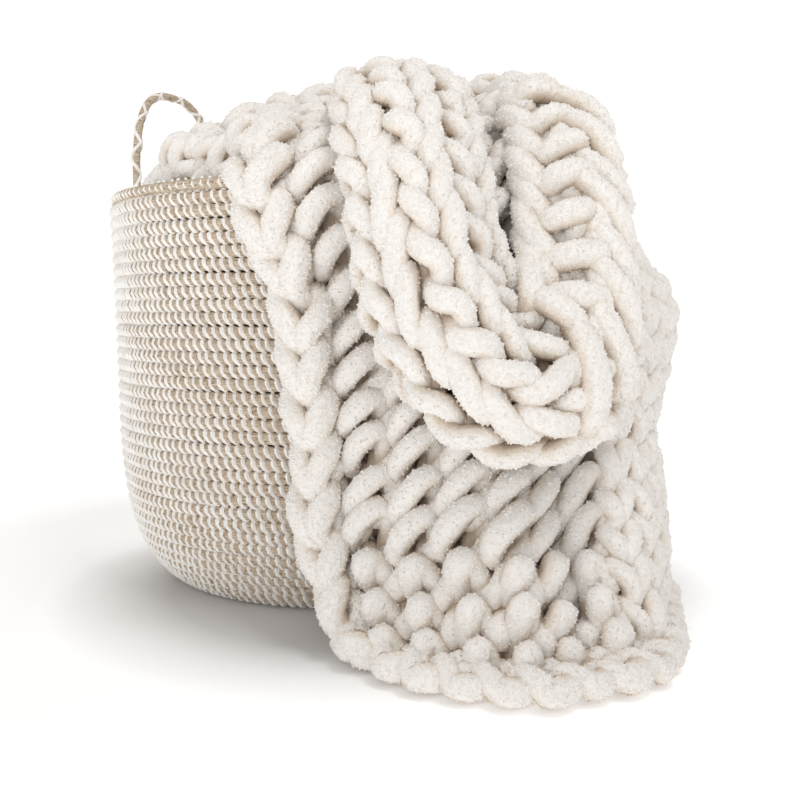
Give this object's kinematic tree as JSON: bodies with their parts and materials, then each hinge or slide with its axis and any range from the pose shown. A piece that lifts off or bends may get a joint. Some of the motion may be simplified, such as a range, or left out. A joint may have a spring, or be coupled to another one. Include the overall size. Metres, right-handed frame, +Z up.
{
  "type": "chunky knit blanket in a coiled basket",
  "caption": "Chunky knit blanket of thick plush yarn, heaped in a round coiled basket with a rope handle and draped over its rim down to the floor.",
  "frame": {"origin": "centre of the basket's base, on the floor", "axes": "+Z up, +Y away from the side over which the blanket hangs, +X to the right seen from that side"},
  "size_m": [0.5706, 0.6447, 0.501],
  "materials": {
    "coiled_grass": "coils of dry grass sewn over with off-white strips",
    "rope": "two twisted strands, brown and cream",
    "plush_yarn": "thick cream plush yarn with a soft matt pile"
  },
  "bodies": {
    "root": {"basket": "coiled_grass", "handle": "rope", "blanket": "plush_yarn"}
  },
  "joints": []
}
